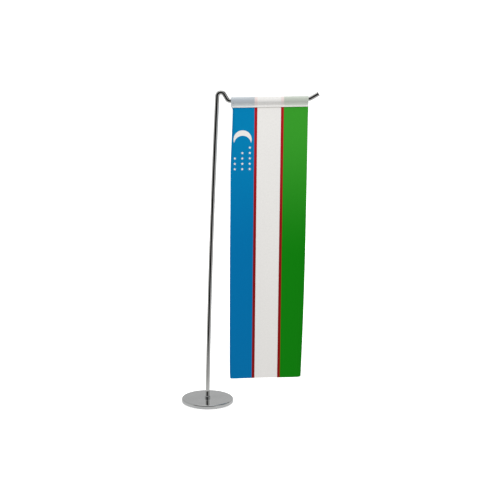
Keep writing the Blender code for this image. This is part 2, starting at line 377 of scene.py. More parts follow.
def cut_steel():
    """The bare end: brown with a film of rust, scored by the cropping blade."""
    material, tree, shader = new_material("cut steel")
    place = add_node(tree, "ShaderNodeTexCoord").outputs["Object"]
    scores = add_node(
        tree,
        "ShaderNodeTexWave",
        {"Vector": place, "Scale": 900.0, "Distortion": 6.0, "Detail": 3.0},
        bands_direction="Z",
    )
    rust = add_node(tree, "ShaderNodeTexNoise", {"Vector": place, "Scale": 900.0, "Detail": 4.0})
    rusty = two_tone(tree, rust.outputs["Fac"], shade(CUT_STEEL, 0.35), shade(CUT_STEEL, 1.6))
    tree.links.new(rusty, shader.inputs["Base Color"])
    tree.links.new(remapped(tree, rust.outputs["Fac"], 0.35, 0.75), shader.inputs["Roughness"])
    shader.inputs["Metallic"].default_value = 0.6
    shader.inputs["Specular IOR Level"].default_value = 0.1
    tree.links.new(relief(tree, scores.outputs["Fac"], 0.5, 0.00003), shader.inputs["Normal"])
    return material


stations, ARM_START = pole_stations()
bent_rod = swept_rod("bent_rod", stations)
bent_rod.data.materials.append(rod_chrome())
bent_rod.data.materials.append(cut_steel())
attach(bent_rod, "bent_pole")
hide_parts("pole")

# --- Foot collar --------------------------------------------------------------------------------
# A small plated ring between the plate and the rod's shoulder, which hides the tapped hole's edge.
# Its upper edge is chamfered and catches the light.

COLLAR_CHAMFER = 0.0006
COLLAR_SEAT = 0.00028  # down to the plate, and up to the rod's shoulder
COLLAR_CHROME = (0.58, 0.59, 0.59)


def collar_chrome():
    """Chrome over turned rings, a little duller than the plate's."""
    material, tree, shader = new_material("collar chrome")
    place = add_node(tree, "ShaderNodeTexCoord").outputs["Object"]
    ripple = blurred_chrome(tree, shader, place, COLLAR_CHROME, 0.06, 0.16)
    grooves = {"Vector": place, "Scale": 2500.0, "Distortion": 1.0}
    rings = add_node(tree, "ShaderNodeTexWave", grooves, bands_direction="Z")
    turning = relief(tree, rings.outputs["Fac"], 0.3, 0.000002)
    plating = relief(tree, ripple, 0.5, 0.000006, over=turning)
    tree.links.new(plating, shader.inputs["Normal"])
    return material


collar_low, collar_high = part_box("foot_collar")
collar_top = collar_high.z + COLLAR_SEAT
collar_bottom = collar_low.z - COLLAR_SEAT
collar_wall = collar_high.x
foot_ring = turned(
    "foot_ring",
    [
        (PLATE_HOLE_RADIUS, collar_top),
        (collar_wall - COLLAR_CHAMFER - 0.0001, collar_top),
        (collar_wall - COLLAR_CHAMFER, collar_top),
        (collar_wall - 0.00005, collar_top - COLLAR_CHAMFER),
        (collar_wall, collar_top - COLLAR_CHAMFER - 0.00005),
        (collar_wall, collar_top - COLLAR_CHAMFER - 0.00015),
        (collar_wall, collar_bottom + 0.0001),
        (collar_wall - 0.0001, collar_bottom),
        (PLATE_HOLE_RADIUS, collar_bottom),
    ],
    steps=96,
    sharp_degrees=35,
)
foot_ring.data.materials.append(collar_chrome())
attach(foot_ring, "bent_pole")
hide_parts("foot_collar")

# --- Banner -------------------------------------------------------------------------------------
# One strip of thin satin polyester, printed on one side and cut hot, so its edges carry no hem.
# Its top is folded forward over the arm and sewn down, so the sleeve shows the pale reverse of the
# print. The cut sides curl back, the right one most towards the bottom.

CLOTH_WIDTH = 0.1080
CLOTH_THICKNESS = 0.00025
CLOTH_MIDDLE = 0.0550  # along the arm from its start
WEFT_SLOPE = math.tan(math.radians(1.5))
HEM_SLOPE = math.tan(math.radians(2.1))
HEM_HEIGHT = 0.0377  # above the desk at mid-width
SLEEVE_RADIUS = 0.0046
SLEEVE_LIFT = -0.00015  # of the sleeve's round above the arm's axis, mid-sleeve
STRIP_TOP = -0.0070  # where flap and panel meet under the arm, from its axis
SEAM_DROP = -0.0100  # the flap's cut edge, from the arm's axis
STRIP_GAP = 0.00030  # between the middles of the two layers in the sewn strip
ROW_RISE = 0.0013  # the stitches, above the flap's cut edge
FLAP_FLARE = 0.0015  # how far the cut edge stands off below the stitches
LEFT_CURL_WIDTH = 0.008
LEFT_CURL_AT_SEAM = math.radians(80)
LEFT_CURL_START = 0.0070  # under the arm's axis
LEFT_CURL_GROWTH = 0.006  # further down, it is at its full
LEFT_CURL_GONE = 0.24  # of the way down the panel
LEFT_CURL_AT_HEM = math.radians(30)
LEFT_FLAT_TO = 0.52  # of the way down the panel, where the left side curls again
RIGHT_CURL_WIDTH = 0.011
RIGHT_CURL_AT_SLEEVE = math.radians(4)
RIGHT_CURL_ABOVE = math.radians(14)
RIGHT_CURL_MORE = math.radians(46)  # added to it at the hem
RIGHT_EVEN_TO = 0.33  # of the way down the panel
LEFT_TRIM = 0.0007  # cut narrower than the sleeve, at the hem
RIGHT_TRIM = 0.0030
CORNER_TRIM = 0.0010  # more at the hem's left corner, which is rounded off
CORNER_SHARE = 0.02  # of the panel's length
PUCKER = 0.00022
PUCKER_FADE = 0.012  # below the seam
SLEEVE_SWELL = 0.05
TIGHT_HEIGHT = 0.008  # above the flap's cut edge, where the sleeve is drawn tight
WAVE_DEPTH = 0.0006
WAVE_WIDTH = 0.085
UNEVENNESS = 0.0004
COLUMNS = 96
EDGE_CROWDING = 0.09
PANEL_ROWS = 200
ROW_CROWDING = 1.15  # closer together towards the seam

CLOTH_WHITE = (0.80, 0.785, 0.760)
# Each ink close to the sleeve and lower down. The paler shade near the sleeve is painted light: the
# banner is drawn lighter and a little hazy towards its top, where the lamps fall on it most.
PRINT_INKS = {
    "blue": ((0.0005, 0.205, 0.440), (0.0003, 0.158, 0.395)),
    "green": ((0.038, 0.315, 0.023), (0.0045, 0.205, 0.0035)),
    "red": ((0.400, 0.010, 0.014), (0.240, 0.006, 0.006)),
}
# What shows through of each ink: a paler shade on the whole reverse, and a darker one on the front
# of the sleeve. The difference is painted light: the paler shade stands in for the sheen and top
# light that wash out the show-through on the sleeve's top, and the darker one on the sleeve's front
# is painted shade.
GHOST_INKS = {
    "blue": ((0.58, 0.62, 0.64), (0.40, 0.435, 0.47)),
    "green": ((0.60, 0.64, 0.58), (0.45, 0.49, 0.43)),
    "red": ((0.73, 0.68, 0.66), (0.71, 0.60, 0.58)),
}
REVERSE_WHITE = (0.74, 0.73, 0.71)
PRINT_PAINTED_LIGHT_SPAN = (-1.0, -0.118, 0.105)  # painted light: inks at their lower-down shade down the panel, drawn paler at the sleeve
GHOST_PAINTED_LIGHT_SPAN = (0.0215, 0.0285, 0.004)  # painted shade: the show-through drawn darker on the front of the sleeve
LINE_SHARE = 0.037  # of the width, for each red line
STRIPE_SHARE = 0.3057  # for the blue stripe and the white one; the green one takes the rest
PRINT_MARGIN = 0.0021  # left bare at the flap's cut edge
PRINT_MARGIN_BLUR = 0.0004
EMBLEM_BLUR = 0.00012
WARP_PITCH = 0.00028
WEFT_PITCH = 0.00034


def smooth_step(value):
    value = min(max(value, 0.0), 1.0)
    return value * value * (3 - 2 * value)


def lower_part(down, start):
    """0 until this share of the way down the panel, then rising evenly to 1 at the hem."""
    return max(0.0, (down - start) / (1 - start))


def left_curl(down, drop):
    """How far the left edge has turned back. down is 0 at the seam and 1 at the hem."""
    below = smooth_step((drop - LEFT_CURL_START) / LEFT_CURL_GROWTH)
    seam = LEFT_CURL_AT_SEAM * below * math.cos(math.pi / 2 * min(down / LEFT_CURL_GONE, 1))
    return seam + LEFT_CURL_AT_HEM * lower_part(down, LEFT_FLAT_TO) ** 0.6


def right_curl(down):
    more = RIGHT_CURL_MORE * lower_part(down, RIGHT_EVEN_TO) ** 1.3
    return RIGHT_CURL_ABOVE * smooth_step(down / 0.05) + more


def trims(down):
    """How much narrower the strip was cut towards its hem, on the left and on the right."""
    corner = CORNER_TRIM * math.exp((down - 1) / CORNER_SHARE)
    left = LEFT_TRIM * lower_part(down, LEFT_FLAT_TO) ** 1.2 + corner
    return left, RIGHT_TRIM * lower_part(down, RIGHT_EVEN_TO) ** 3


def heading_across(distance, left, right):
    """The cloth's direction in plan at this distance from its left edge."""
    heading = 0.0
    if distance < LEFT_CURL_WIDTH:
        heading -= left * (1 - distance / LEFT_CURL_WIDTH)
    past = distance - (CLOTH_WIDTH - RIGHT_CURL_WIDTH)
    if past > 0:
        heading += right * past / RIGHT_CURL_WIDTH
    return heading


def cross_row(left, right, left_trim=0.0, right_trim=0.0):
    """(x, y) of every column of one row, about the cloth's middle, with its edges curled back."""
    steps = 4
    places = []
    for i in range(COLUMNS + 1):
        share = i / COLUMNS
        trim = left_trim * (1 - share) ** 8 - right_trim * share**8
        places.append(column_distance(i) + trim)
    points = [(places[0], 0.0)]
    for first, last in zip(places, places[1:]):
        x, y = points[-1]
        step = (last - first) / steps
        for k in range(steps):
            heading = heading_across(first + (k + 0.5) * step, left, right)
            x += step * math.cos(heading)
            y += step * math.sin(heading)
        points.append((x, y))
    middle = COLUMNS // 2
    shift_x = -points[middle][0] - CLOTH_WIDTH / 2 + column_distance(middle)
    shift_y = -points[middle][1]
    return [(x + shift_x, y + shift_y) for x, y in points]


def column_distance(i):
    """Columns are closer together towards the two edges."""
    share = i / COLUMNS
    return CLOTH_WIDTH * (share - EDGE_CROWDING * math.sin(2 * math.pi * share) / math.pi)


def flap_face(z):
    """How far forward the flap lies at this height below the arm."""
    below_row = max(0.0, (SEAM_DROP + ROW_RISE - z) / ROW_RISE)
    return -STRIP_GAP - FLAP_FLARE * below_row**1.5


def sleeve_path():
    """(y, z) up the back of the sewn strip, over the arm and down the flap's front."""
    path = [(0.0, SEAM_DROP + (STRIP_TOP - SEAM_DROP) * i / 5) for i in range(1, 6)]
    opening = math.acos(SLEEVE_RADIUS / (SLEEVE_LIFT - STRIP_TOP))
    low = -math.pi / 2
    first = low + opening
    last = low + 2 * math.pi - opening
    steps = 30
    for i in range(steps + 1):
        turn = first + (last - first) * i / steps
        y = SLEEVE_RADIUS * math.cos(turn)
        z = SLEEVE_LIFT + SLEEVE_RADIUS * math.sin(turn)
        path.append((y - (0.0 if i < steps / 2 else STRIP_GAP / 2), z))
    strip = [STRIP_TOP + (SEAM_DROP - STRIP_TOP) * i / 9 for i in range(10)]
    return path + [(flap_face(z), z) for z in strip]


def softened(path, rounds=2):
    """Round off the corners of a path, as cloth does, and keep its ends."""
    for _ in range(rounds):
        inner = [
            tuple((a + 2 * b + c) / 4 for a, b, c in zip(before, here, after))
            for before, here, after in zip(path, path[1:], path[2:])
        ]
        path = [path[0], *inner, path[-1]]
    return path


def pucker(x, z, size):
    """Small waves where the stitches draw the cloth in."""
    fine = noise.noise((x * 260, z * 90, 3.7))
    broad = noise.noise((x * 90, z * 30, 8.1))
    return size * (0.6 * fine + 0.8 * broad)


def slow_wave(x, down):
    """The cloth never hangs quite flat: long shallow waves, none at the seam."""
    turns = x / WAVE_WIDTH + 0.35 * down
    wave = WAVE_DEPTH * math.sin(2 * math.pi * turns) * smooth_step(down / 0.3)
    return wave + UNEVENNESS * noise.noise((x * 22, down * 5, 1.3)) * smooth_step(down / 0.1)


CLOTH_CENTRE = (
    ARM_START[0] + CLOTH_MIDDLE * math.cos(ARM_RISE),
    ARM_START[1] + CLOTH_MIDDLE * math.sin(ARM_RISE),
)


def sleeve_row(y, z):
    """One row of cloth in the sewn strip or round the arm, at this place in the section."""
    arm_x, arm_z = CLOTH_CENTRE
    tight = smooth_step((z - SEAM_DROP) / TIGHT_HEIGHT)
    row = []
    for x, curl_y in cross_row(left_curl(0.0, max(-z, 0.0)), RIGHT_CURL_AT_SLEEVE):
        wrinkle = pucker(x, z if y > -0.001 else -z, PUCKER) * (1 - 0.4 * tight)
        swell = 1 + SLEEVE_SWELL * noise.noise((x * 40, y * 150, 5.5)) * tight
        row.append((arm_x + x, y * swell + curl_y + wrinkle, arm_z + z + WEFT_SLOPE * x))
    return row


def banner_sheet():
    """The whole cut strip as an open sheet, with the distance across and along as its UV map."""
    arm_x, arm_z = CLOTH_CENTRE
    hang = arm_z - HEM_HEIGHT
    rows = []
    for k in range(PANEL_ROWS, -1, -1):
        down = (k / PANEL_ROWS) ** ROW_CROWDING
        drop = -SEAM_DROP + down * (hang + SEAM_DROP)
        slope = WEFT_SLOPE + (HEM_SLOPE - WEFT_SLOPE) * down
        plan = cross_row(left_curl(down, drop), right_curl(down), *trims(down))
        fade = math.exp(-(drop + SEAM_DROP) / PUCKER_FADE)
        row = []
        for x, y in plan:
            y += slow_wave(x, down) + pucker(x, -drop, PUCKER) * fade
            row.append((arm_x + x, y, arm_z - drop + slope * x))
        rows.append(row)
    rows += [sleeve_row(y, z) for y, z in softened([(0.0, SEAM_DROP), *sleeve_path()])[1:]]
    shape = bmesh.new()
    grid = [[shape.verts.new(point) for point in row] for row in rows]
    cloth = shape.loops.layers.uv.new("cloth")
    alongs = [0.0]
    for row, following in zip(rows, rows[1:]):
        alongs.append(alongs[-1] + math.dist(row[COLUMNS // 2], following[COLUMNS // 2]))
    seam = alongs[PANEL_ROWS]
    for k in range(len(rows) - 1):
        for i in range(COLUMNS):
            ends = ((i, k), (i + 1, k), (i + 1, k + 1), (i, k + 1))
            face = shape.faces.new([grid[row][column] for column, row in ends])
            for loop, (column, row) in zip(face.loops, ends):
                loop[cloth].uv = (column_distance(column), alongs[row] - seam)
    mesh = bpy.data.meshes.new("banner_cloth")
    shape.to_mesh(mesh)
    shape.free()
    mesh.shade_smooth()
    return mesh, alongs[-1], alongs[-1] - seam


def calc(tree, operation, first, second=0.0):
    node = add_node(tree, "ShaderNodeMath", {0: first, 1: second}, operation=operation)
    return node.outputs["Value"]


def between(tree, value, low, high, blur):
    """1 where the value lies between the two ends, with soft edges this wide."""
    sides = []
    for end, before, after in ((low, 0.0, 1.0), (high, 1.0, 0.0)):
        span = {"From Min": end - blur, "From Max": end + blur, "To Min": before, "To Max": after}
        side = add_node(
            tree,
            "ShaderNodeMapRange",
            {"Value": value, **span},
            interpolation_type="SMOOTHSTEP",
        )
        sides.append(side.outputs["Result"])
    return calc(tree, "MULTIPLY", *sides)


def painted(tree, share, under, over):
    """One colour laid over another by this share."""
    mix = add_node(tree, "ShaderNodeMix", data_type="RGBA")
    for key, value in ((0, share), (6, under), (7, over)):
        if isinstance(value, bpy.types.NodeSocket):
            tree.links.new(value, mix.inputs[key])
        else:
            mix.inputs[key].default_value = (*value, 1.0)
    return mix.outputs[2]


def print_colours(tree, across, along, inks, painted_light_span, ground, blur):
    """Blue, white and green parted by red lines, with a crescent and twelve stars left white."""
    pair = STRIPE_SHARE + LINE_SHARE
    shares = (STRIPE_SHARE, pair, pair + STRIPE_SHARE, 2 * pair)
    edges = [CLOTH_WIDTH * share for share in shares]
    blue = between(tree, across, -1.0, (edges[0] + edges[1]) / 2, blur)
    green = between(tree, across, (edges[2] + edges[3]) / 2, 1.0, blur)
    left_line = between(tree, across, edges[0], edges[1], blur)
    right_line = between(tree, across, edges[2], edges[3], blur)
    # Painted light: each ink is drawn in two shades, lighter or darker by where it lies along the
    # cloth
    strength = between(tree, along, *painted_light_span)
    ink = {name: painted(tree, strength, *shades) for name, shades in inks.items()}
    colour = painted(tree, blue, ground, ink["blue"])
    colour = painted(tree, green, colour, ink["green"])
    colour = painted(tree, left_line, colour, ink["red"])
    colour = painted(tree, right_line, colour, ink["red"])
    emblem = calc(tree, "MAXIMUM", crescent(tree, across, along), stars(tree, across, along))
    bare = between(tree, along, FLAP_LENGTH - PRINT_MARGIN, 1.0, PRINT_MARGIN_BLUR)
    return painted(tree, calc(tree, "MAXIMUM", emblem, bare), colour, ground)


CRESCENT_RADIUS = 0.0128
CRESCENT_CENTRE = (0.0166, -0.0450)  # across from the left edge, and up from the seam
HOLLOW_RADIUS = 0.0120
HOLLOW_DROP = 0.0068  # of the cut-out circle's centre below the crescent's
STAR_RADIUS = 0.0021
STAR_WAIST = 0.45  # of the star's radius, at its inner corners
STAR_FIRST = (0.0060, -0.0872)  # the lowest star on the left
STAR_STEP = (0.0105, 0.00763)  # between columns, and between rows
STAR_COLUMNS = (3, 4, 5)  # stars in each column, from the left


def distance(tree, side, rise):
    squares = [calc(tree, "MULTIPLY", part, part) for part in (side, rise)]
    return calc(tree, "SQRT", calc(tree, "ADD", *squares))


def disc(tree, across, along, centre, radius):
    """1 inside a circle on the cloth."""
    side = calc(tree, "SUBTRACT", across, centre[0])
    rise = calc(tree, "SUBTRACT", along, centre[1])
    return between(tree, distance(tree, side, rise), -1.0, radius, EMBLEM_BLUR)


def crescent(tree, across, along):
    outer = disc(tree, across, along, CRESCENT_CENTRE, CRESCENT_RADIUS)
    hollow_centre = (CRESCENT_CENTRE[0], CRESCENT_CENTRE[1] - HOLLOW_DROP)
    hollow = disc(tree, across, along, hollow_centre, HOLLOW_RADIUS)
    return calc(tree, "MULTIPLY", outer, calc(tree, "SUBTRACT", 1.0, hollow))


def stars(tree, across, along):
    """Three columns of five-pointed stars, one more in each, that stand on one base line."""
    width, height = STAR_STEP
    start_across = STAR_FIRST[0] - width / 2
    start_along = STAR_FIRST[1] - height / 2
    column = calc(tree, "DIVIDE", calc(tree, "SUBTRACT", across, start_across), width)
    row = calc(tree, "DIVIDE", calc(tree, "SUBTRACT", along, start_along), height)
    side = calc(tree, "MULTIPLY", calc(tree, "SUBTRACT", calc(tree, "FRACT", column), 0.5), width)
    rise = calc(tree, "MULTIPLY", calc(tree, "SUBTRACT", calc(tree, "FRACT", row), 0.5), height)
    far = distance(tree, side, rise)
    fifth = 2 * math.pi / 5
    turn = calc(tree, "WRAP", calc(tree, "ARCTAN2", side, rise), fifth / 2)
    turn.node.inputs[2].default_value = -fifth / 2
    point_turn = calc(tree, "ABSOLUTE", turn)
    # A straight side runs from a point, at no turn, to an inner corner, half a fifth round
    waist = STAR_RADIUS * STAR_WAIST
    lean_side = STAR_RADIUS - waist * math.cos(fifth / 2)
    lean_rise = waist * math.sin(fifth / 2)
    length = math.hypot(lean_side, lean_rise)
    outward = []
    for operation, lean in (("SINE", lean_side), ("COSINE", lean_rise)):
        part = calc(tree, "MULTIPLY", far, calc(tree, operation, point_turn))
        outward.append(calc(tree, "MULTIPLY", part, lean / length))
    side_line = STAR_RADIUS * lean_rise / length
    inside = between(tree, calc(tree, "ADD", *outward), -1.0, side_line, EMBLEM_BLUR)
    allowed = 0.0
    for i, count in enumerate(STAR_COLUMNS):
        in_column = between(tree, column, i, i + 1, 0.001)
        in_rows = between(tree, row, 0, count, 0.001)
        allowed = calc(tree, "MAXIMUM", calc(tree, "MULTIPLY", in_column, in_rows), allowed)
    return calc(tree, "MULTIPLY", inside, allowed)


def weave(tree, across, along):
    """The height of satin: fine warp threads, and a weft that shows in small broken floats."""
    warp = calc(tree, "SINE", calc(tree, "MULTIPLY", across, 2 * math.pi / WARP_PITCH))
    weft = calc(tree, "SINE", calc(tree, "MULTIPLY", along, 2 * math.pi / WEFT_PITCH))
    twill = [calc(tree, "MULTIPLY", across, 3500.0), calc(tree, "MULTIPLY", along, 5900.0)]
    floats = calc(tree, "SINE", calc(tree, "ADD", *twill))
    crossed = calc(tree, "MULTIPLY", warp, weft)
    return calc(tree, "ADD", crossed, calc(tree, "MULTIPLY", floats, 0.5))


def cloth_material(name, inks, painted_light_span, ground, blur, roughness, spread):
    """Printed satin with this much blur at the inks' edges and this much spread of tone."""
    material, tree, shader = new_material(name)
    uv = add_node(tree, "ShaderNodeUVMap", uv_map="cloth").outputs["UV"]
    apart = add_node(tree, "ShaderNodeSeparateXYZ", {"Vector": uv})
    across, along = apart.outputs["X"], apart.outputs["Y"]
    colour = print_colours(tree, across, along, inks, painted_light_span, ground, blur)
    height = weave(tree, across, along)
    mottle = add_node(tree, "ShaderNodeTexNoise", {"Vector": uv, "Scale": 420.0, "Detail": 5.0})
    # Random mottling of tone, plus painted shade from the weave: raised threads drawn a little
    # lighter, sunken ones darker
    mottle_and_weave_shade = calc(
        tree,
        "ADD",
        remapped(tree, mottle.outputs["Fac"], 1 - spread, 1 + spread),
        calc(tree, "MULTIPLY", height, 0.03),
    )
    tone = add_node(tree, "ShaderNodeHueSaturation", {"Value": mottle_and_weave_shade, "Color": colour})
    tree.links.new(tone.outputs["Color"], shader.inputs["Base Color"])
    uneven = remapped(tree, mottle.outputs["Fac"], roughness - 0.08, roughness + 0.08)
    tree.links.new(uneven, shader.inputs["Roughness"])
    tree.links.new(relief(tree, height, 0.5, 0.00002), shader.inputs["Normal"])
    shader.inputs["Specular IOR Level"].default_value = 0.04
    return material


def cut_edge():
    """The hot-cut edge: threads melted together into a thin pale bead, painted darker in the
    hollows between its beads as painted shade.
    """
    material, tree, shader = new_material("melted edge")
    uv = add_node(tree, "ShaderNodeUVMap", uv_map="cloth").outputs["UV"]
    beads = add_node(tree, "ShaderNodeTexNoise", {"Vector": uv, "Scale": 2500.0, "Detail": 2.0})
    # Painted shade: the bead drawn darker where its surface is low
    bead_hollow_shade = two_tone(tree, beads.outputs["Fac"], shade(CLOTH_WHITE, 0.75), CLOTH_WHITE)
    tree.links.new(bead_hollow_shade, shader.inputs["Base Color"])
    tree.links.new(remapped(tree, beads.outputs["Fac"], 0.35, 0.6), shader.inputs["Roughness"])
    tree.links.new(relief(tree, beads.outputs["Fac"], 0.6, 0.00005), shader.inputs["Normal"])
    return material


sheet_mesh, cloth_length, FLAP_LENGTH = banner_sheet()
open_sheet = placed("open_sheet", sheet_mesh)
face_inks = ("printed cloth", PRINT_INKS, PRINT_PAINTED_LIGHT_SPAN, CLOTH_WHITE)
reverse_inks = ("cloth reverse", GHOST_INKS, GHOST_PAINTED_LIGHT_SPAN, REVERSE_WHITE)
printed = cloth_material(*face_inks, blur=0.00015, roughness=0.62, spread=0.06)
reverse = cloth_material(*reverse_inks, blur=0.0007, roughness=0.78, spread=0.10)
sheet_mesh.materials.append(printed)
sheet_mesh.materials.append(reverse)
sheet_mesh.materials.append(cut_edge())
thickness = open_sheet.modifiers.new("thickness", "SOLIDIFY")
thickness.thickness = CLOTH_THICKNESS
thickness.offset = 0.0
thickness.use_even_offset = True
thickness.material_offset = 1
thickness.material_offset_rim = 2
evaluated = open_sheet.evaluated_get(bpy.context.evaluated_depsgraph_get())
hung_cloth = placed("hung_cloth", bpy.data.meshes.new_from_object(evaluated))
bpy.data.objects.remove(open_sheet, do_unlink=True)
hung_cloth.data.set_sharp_from_angle(angle=math.radians(50))
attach(hung_cloth, "hung_banner")
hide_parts("banner")

# --- Sewn row -----------------------------------------------------------------------------------
# A lockstitch in white thread closes the sleeve just above the flap's cut edge.
# The same thread shows as a row of stitches on the front of the flap and on the back of the panel.

STITCH_LENGTH = 0.0021
STITCH_PITCH = 0.0026
THREAD_RADIUS = 0.00018
STITCH_ARCH = 4.4  # thread radii, of the stitch's control point above the cloth
STITCH_SINK = 1.3  # thread radii, of its two ends below the cloth's face
STITCH_WANDER = math.radians(4)
STITCH_SEED = 12
ROW_INSET = 0.0016  # from each end of the strip
THREAD_WHITE = (0.80, 0.79, 0.77)


def thread_material():
    """Twisted white thread with a slight sheen, its grooves between the plies painted darker as
    painted shade.
    """
    material, tree, shader = new_material("sewing thread")
    place = add_node(tree, "ShaderNodeTexCoord").outputs["Object"]
    ply = add_node(
        tree,
        "ShaderNodeTexWave",
        {"Vector": place, "Scale": 1600.0, "Distortion": 0.6},
        bands_direction="DIAGONAL",
    )
    # Painted shade: the grooves between the plies drawn darker than the white thread
    ply_groove_shade = two_tone(tree, ply.outputs["Fac"], shade(THREAD_WHITE, 0.80), THREAD_WHITE)
    tree.links.new(ply_groove_shade, shader.inputs["Base Color"])
    tree.links.new(remapped(tree, ply.outputs["Fac"], 0.5, 0.75), shader.inputs["Roughness"])
    shader.inputs["Sheen Weight"].default_value = 0.2
    tree.links.new(relief(tree, ply.outputs["Fac"], 0.5, 0.00004), shader.inputs["Normal"])
    return material


def stitch_tree(material):
    """Lay a stitch at every pitch along the piece's edges, each turned a little its own way."""
    tree = bpy.data.node_groups.new("sewn row", "GeometryNodeTree")
    tree.interface.new_socket("Row", in_out="INPUT", socket_type="NodeSocketGeometry")
    for size in ("Pitch", "Stitch Length", "Thread Radius", "Wander"):
        tree.interface.new_socket(size, in_out="INPUT", socket_type="NodeSocketFloat")
    tree.interface.new_socket("Seed", in_out="INPUT", socket_type="NodeSocketInt")
    tree.interface.new_socket("Stitches", in_out="OUTPUT", socket_type="NodeSocketGeometry")
    given = tree.nodes.new("NodeGroupInput").outputs
    row = add_node(tree, "GeometryNodeMeshToCurve", {"Mesh": given["Row"]})
    spaced = add_node(tree, "GeometryNodeResampleCurve", {"Curve": row.outputs["Curve"]})
    spaced.mode = "LENGTH"
    tree.links.new(given["Pitch"], spaced.inputs["Length"])
    half = calc(tree, "MULTIPLY", given["Stitch Length"], 0.5)
    back = calc(tree, "MULTIPLY", given["Stitch Length"], -0.5)
    sink = calc(tree, "MULTIPLY", given["Thread Radius"], -STITCH_SINK)
    rise = calc(tree, "MULTIPLY", given["Thread Radius"], STITCH_ARCH)
    start = add_node(tree, "ShaderNodeCombineXYZ", {"Y": sink, "Z": back}).outputs[0]
    crown = add_node(tree, "ShaderNodeCombineXYZ", {"Y": rise}).outputs[0]
    end = add_node(tree, "ShaderNodeCombineXYZ", {"Y": sink, "Z": half}).outputs[0]
    arch = add_node(
        tree,
        "GeometryNodeCurveQuadraticBezier",
        {"Resolution": 8, "Start": start, "Middle": crown, "End": end},
    )
    ring = add_node(
        tree,
        "GeometryNodeCurvePrimitiveCircle",
        {"Resolution": 8, "Radius": given["Thread Radius"]},
    )
    stitch = add_node(
        tree,
        "GeometryNodeCurveToMesh",
        {"Curve": arch.outputs["Curve"], "Profile Curve": ring.outputs["Curve"], "Fill Caps": True},
    )
    tangent = add_node(tree, "GeometryNodeInputTangent")
    aligned = add_node(
        tree,
        "FunctionNodeAlignRotationToVector",
        {"Vector": tangent.outputs["Tangent"]},
        axis="Z",
        pivot_axis="Y",
    )
    least = calc(tree, "MULTIPLY", given["Wander"], -1.0)
    wander = add_node(
        tree,
        "FunctionNodeRandomValue",
        {2: least, 3: given["Wander"], "Seed": given["Seed"]},
        data_type="FLOAT",
    )
    named = {"Name": "half_turn"}
    half_turn = add_node(tree, "GeometryNodeInputNamedAttribute", named, data_type="FLOAT")
    turns = {"Y": wander.outputs[1], "Z": half_turn.outputs["Attribute"]}
    turn = add_node(tree, "ShaderNodeCombineXYZ", turns)
    turned_stitch = add_node(
        tree,
        "FunctionNodeRotateRotation",
        {"Rotation": aligned.outputs["Rotation"]},
        rotation_space="LOCAL",
    )
    euler = add_node(tree, "FunctionNodeEulerToRotation", {"Euler": turn.outputs[0]})
    tree.links.new(euler.outputs["Rotation"], turned_stitch.inputs["Rotate By"])
    laid = add_node(
        tree,
        "GeometryNodeInstanceOnPoints",
        {
            "Points": spaced.outputs["Curve"],
            "Instance": stitch.outputs["Mesh"],
            "Rotation": turned_stitch.outputs["Rotation"],
        },
    )
    real = add_node(tree, "GeometryNodeRealizeInstances", {"Geometry": laid.outputs["Instances"]})
    sewn = {"Geometry": real.outputs["Geometry"], "Material": material}
    finish = add_node(tree, "GeometryNodeSetMaterial", sewn)
    result = tree.nodes.new("NodeGroupOutput")
    tree.links.new(finish.outputs["Geometry"], result.inputs["Stitches"])
    return tree


def row_lines():
    """The two rows as open lines: on the flap's face, and on the panel's back."""
    z = SEAM_DROP + ROW_RISE
    mesh = bpy.data.meshes.new("sewn_lines")
    points, edges, turns = [], [], []
    for y, outward, half_turn in ((flap_face(z), -1, math.pi), (0.0, 1, 0.0)):
        row = sleeve_row(y, z)
        last = CLOTH_WIDTH - ROW_INSET
        inside = [k for k in range(COLUMNS + 1) if ROW_INSET < column_distance(k) < last]
        edges += [(len(points) + k, len(points) + k + 1) for k in range(len(inside) - 1)]
        for k in inside:
            points.append((row[k][0], row[k][1] + outward * CLOTH_THICKNESS / 2, row[k][2]))
            turns.append(half_turn)
    mesh.from_pydata(points, edges, [])
    attribute = mesh.attributes.new("half_turn", "FLOAT", "POINT")
    attribute.data.foreach_set("value", turns)
    return placed("sewn_lines", mesh)


lines = row_lines()
stitching = lines.modifiers.new("stitching", "NODES")
stitching.node_group = stitch_tree(thread_material())
row_sizes = {
    "Pitch": STITCH_PITCH,
    "Stitch Length": STITCH_LENGTH,
    "Thread Radius": THREAD_RADIUS,
    "Wander": STITCH_WANDER,
    "Seed": STITCH_SEED,
}
for item in stitching.node_group.interface.items_tree:
    if item.name in row_sizes:
        stitching[item.identifier] = row_sizes[item.name]
evaluated = lines.evaluated_get(bpy.context.evaluated_depsgraph_get())
sewn_row = placed("sewn_row", bpy.data.meshes.new_from_object(evaluated))
bpy.data.objects.remove(lines, do_unlink=True)
sewn_row.data.shade_smooth()
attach(sewn_row, "hung_banner")
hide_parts("seam_thread")

# --- Studio -------------------------------------------------------------------------------------
# A plain white floor that only the camera sees, and four soft lamps: in front, high in front,
# overhead and behind. The chrome mirrors a grey room, dark in front of the stand and overhead on
# the right, and a pale card on the floor that only the chrome sees.

CAMERA_PLACE = (0.0597, -2.0, 0.6581)
CAMERA_PITCH = math.radians(77.85)
CAMERA_ROLL = math.radians(0.6)
LENS = 103.2
SENSOR = 36.0


def add_light(name, size, place, aim, watts, mirrored):
    """A soft rectangular lamp that faces a point. It is mirrored in chrome only if asked."""
    lamp = bpy.data.lights.new(name, "AREA")
    lamp.shape = "RECTANGLE"
    lamp.size, lamp.size_y = size
    lamp.energy = watts
    light = placed(name, lamp)
    light.location = place
    direction = light.location - type(light.location)(aim)
    light.rotation_euler = direction.to_track_quat("Z", "Y").to_euler()
    light.visible_glossy = mirrored
    light.visible_camera = False


